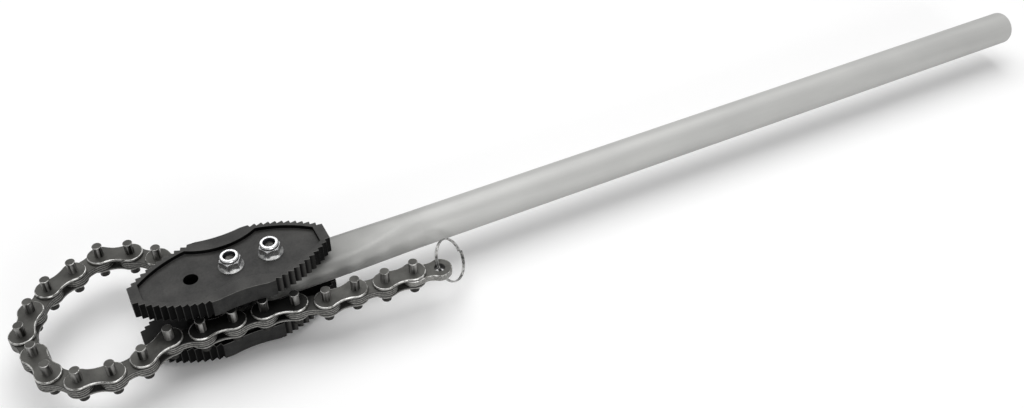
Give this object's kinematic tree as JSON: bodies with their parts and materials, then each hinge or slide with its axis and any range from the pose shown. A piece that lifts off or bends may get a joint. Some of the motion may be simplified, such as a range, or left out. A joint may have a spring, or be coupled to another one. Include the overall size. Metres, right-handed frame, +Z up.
{
  "type": "chain pipe wrench",
  "caption": "Chain pipe wrench: long tube handle, toothed jaw plates bolted over its forked flat end, and a pinned leaf chain that wraps a pipe and catches on the jaws.",
  "frame": {"origin": "axis of the open bolt hole in the jaws, midway between the two jaw plates", "axes": "+X along the handle towards its free end, +Z up along the bolt holes, away from the bolt heads"},
  "size_m": [1.043, 0.1659, 0.0804],
  "materials": {
    "handle_steel": "satin",
    "jaw_steel": "satin black oxide",
    "chain_steel": "oiled dark steel",
    "pin_steel": "oiled",
    "zinc_steel": "bright zinc",
    "bolt_steel": "dark oxide",
    "nylon": "matt",
    "ring_steel": "bright"
  },
  "bodies": {
    "root": {"handle_tube": "handle_steel", "upper_jaw": "jaw_steel", "lower_jaw": "jaw_steel", "jaw_bolts": "bolt_steel", "lock_nuts": "zinc_steel", "nylon_inserts": "nylon"},
    "outer_link_1": {"outer_plates_1": "chain_steel", "link_pins_1": "pin_steel", "anchor_bush": "chain_steel"},
    "inner_link_1": {"inner_leaves_1": "chain_steel"},
    "outer_link_2": {"outer_plates_2": "chain_steel", "link_pins_2": "pin_steel"},
    "inner_link_2": {"inner_leaves_2": "chain_steel"},
    "outer_link_3": {"outer_plates_3": "chain_steel", "link_pins_3": "pin_steel"},
    "inner_link_3": {"inner_leaves_3": "chain_steel"},
    "outer_link_4": {"outer_plates_4": "chain_steel", "link_pins_4": "pin_steel"},
    "inner_link_4": {"inner_leaves_4": "chain_steel"},
    "outer_link_5": {"outer_plates_5": "chain_steel", "link_pins_5": "pin_steel"},
    "inner_link_5": {"inner_leaves_5": "chain_steel"},
    "outer_link_6": {"outer_plates_6": "chain_steel", "link_pins_6": "pin_steel"},
    "inner_link_6": {"inner_leaves_6": "chain_steel"},
    "outer_link_7": {"outer_plates_7": "chain_steel", "link_pins_7": "pin_steel"},
    "inner_link_7": {"inner_leaves_7": "chain_steel"},
    "outer_link_8": {"outer_plates_8": "chain_steel", "link_pins_8": "pin_steel"},
    "inner_link_8": {"inner_leaves_8": "chain_steel"},
    "outer_link_9": {"outer_plates_9": "chain_steel", "link_pins_9": "pin_steel"},
    "inner_link_9": {"inner_leaves_9": "chain_steel"},
    "outer_link_10": {"outer_plates_10": "chain_steel", "link_pins_10": "pin_steel"},
    "inner_link_10": {"inner_leaves_10": "chain_steel"},
    "outer_link_11": {"outer_plates_11": "chain_steel", "link_pins_11": "pin_steel"},
    "inner_link_11": {"inner_leaves_11": "chain_steel"},
    "outer_link_12": {"outer_plates_12": "chain_steel", "link_pins_12": "pin_steel"},
    "end_link": {"end_link": "chain_steel"},
    "ring": {"split_ring": "ring_steel"}
  },
  "joints": [
    {"name": "outer_link_1_turn", "type": "hinge", "parent": "root", "child": "outer_link_1", "pos_m": [0.0335, 0, 0], "axis": [0, 0, 1], "range_deg": [-9, 3]},
    {"name": "inner_link_1_turn", "type": "hinge", "parent": "outer_link_1", "child": "inner_link_1", "pos_m": [0.01545, 0.02396, 0], "axis": [0, 0, -1], "range_deg": [-2, 45]},
    {"name": "outer_link_2_turn", "type": "hinge", "parent": "inner_link_1", "child": "outer_link_2", "pos_m": [0.00016, 0.04424, 0], "axis": [0, 0, 1], "range_deg": [-45, 2]},
    {"name": "inner_link_2_turn", "type": "hinge", "parent": "outer_link_2", "child": "inner_link_2", "pos_m": [-0.01513, 0.06453, 0], "axis": [0, 0, -1], "range_deg": [-1, 45]},
    {"name": "outer_link_3_turn", "type": "hinge", "parent": "inner_link_2", "child": "outer_link_3", "pos_m": [-0.03458, 0.08086, 0], "axis": [0, 0, 1], "range_deg": [-45, 1]},
    {"name": "inner_link_3_turn", "type": "hinge", "parent": "outer_link_3", "child": "inner_link_3", "pos_m": [-0.0586, 0.08913, 0], "axis": [0, 0, -1], "range_deg": [0, 45]},
    {"name": "outer_link_4_turn", "type": "hinge", "parent": "inner_link_3", "child": "outer_link_4", "pos_m": [-0.08231, 0.08002, 0], "axis": [0, 0, 1], "range_deg": [-45, 0]},
    {"name": "inner_link_4_turn", "type": "hinge", "parent": "outer_link_4", "child": "inner_link_4", "pos_m": [-0.10514, 0.06889, 0], "axis": [0, 0, -1], "range_deg": [0, 45]},
    {"name": "outer_link_5_turn", "type": "hinge", "parent": "inner_link_4", "child": "outer_link_5", "pos_m": [-0.12214, 0.05001, 0], "axis": [0, 0, 1], "range_deg": [-45, 0]},
    {"name": "inner_link_5_turn", "type": "hinge", "parent": "outer_link_5", "child": "inner_link_5", "pos_m": [-0.13287, 0.02699, 0], "axis": [0, 0, -1], "range_deg": [0, 45]},
    {"name": "outer_link_6_turn", "type": "hinge", "parent": "inner_link_5", "child": "outer_link_6", "pos_m": [-0.12803, 0.00206, 0], "axis": [0, 0, 1], "range_deg": [-45, 0]},
    {"name": "inner_link_6_turn", "type": "hinge", "parent": "outer_link_6", "child": "inner_link_6", "pos_m": [-0.12188, -0.02259, 0], "axis": [0, 0, -1], "range_deg": [0, 45]},
    {"name": "outer_link_7_turn", "type": "hinge", "parent": "inner_link_6", "child": "outer_link_7", "pos_m": [-0.10301, -0.03958, 0], "axis": [0, 0, 1], "range_deg": [-45, 0]},
    {"name": "inner_link_7_turn", "type": "hinge", "parent": "outer_link_7", "child": "inner_link_7", "pos_m": [-0.07816, -0.04486, 0], "axis": [0, 0, -1], "range_deg": [0, 45]},
    {"name": "outer_link_8_turn", "type": "hinge", "parent": "inner_link_7", "child": "outer_link_8", "pos_m": [-0.05307, -0.04089, 0], "axis": [0, 0, 1], "range_deg": [-45, 0]},
    {"name": "inner_link_8_turn", "type": "hinge", "parent": "outer_link_8", "child": "inner_link_8", "pos_m": [-0.03005, -0.03016, 0], "axis": [0, 0, -1], "range_deg": [-1, 45]},
    {"name": "outer_link_9_turn", "type": "hinge", "parent": "inner_link_8", "child": "outer_link_9", "pos_m": [-0.00497, -0.03413, 0], "axis": [0, 0, 1], "range_deg": [-45, 2]},
    {"name": "inner_link_9_turn", "type": "hinge", "parent": "outer_link_9", "child": "inner_link_9", "pos_m": [0.02042, -0.03501, 0], "axis": [0, 0, -1], "range_deg": [-3, 45]},
    {"name": "outer_link_10_turn", "type": "hinge", "parent": "inner_link_9", "child": "outer_link_10", "pos_m": [0.0458, -0.0359, 0], "axis": [0, 0, 1], "range_deg": [-45, 3]},
    {"name": "inner_link_10_turn", "type": "hinge", "parent": "outer_link_10", "child": "inner_link_10", "pos_m": [0.07082, -0.04031, 0], "axis": [0, 0, -1], "range_deg": [-3, 45]},
    {"name": "outer_link_11_turn", "type": "hinge", "parent": "inner_link_10", "child": "outer_link_11", "pos_m": [0.09497, -0.04816, 0], "axis": [0, 0, 1], "range_deg": [-45, 3]},
    {"name": "inner_link_11_turn", "type": "hinge", "parent": "outer_link_11", "child": "inner_link_11", "pos_m": [0.12037, -0.04772, 0], "axis": [0, 0, -1], "range_deg": [-3, 45]},
    {"name": "outer_link_12_turn", "type": "hinge", "parent": "inner_link_11", "child": "outer_link_12", "pos_m": [0.14558, -0.05081, 0], "axis": [0, 0, 1], "range_deg": [-45, 3]},
    {"name": "end_link_turn", "type": "hinge", "parent": "outer_link_12", "child": "end_link", "pos_m": [0.17097, -0.0517, 0], "axis": [0, 0, -1], "range_deg": [-3, 45]},
    {"name": "ring_swing", "type": "hinge", "parent": "end_link", "child": "ring", "pos_m": [0.19322, -0.05562, 0], "axis": [0, 0, 1], "range_deg": [-60, 30]}
  ]
}
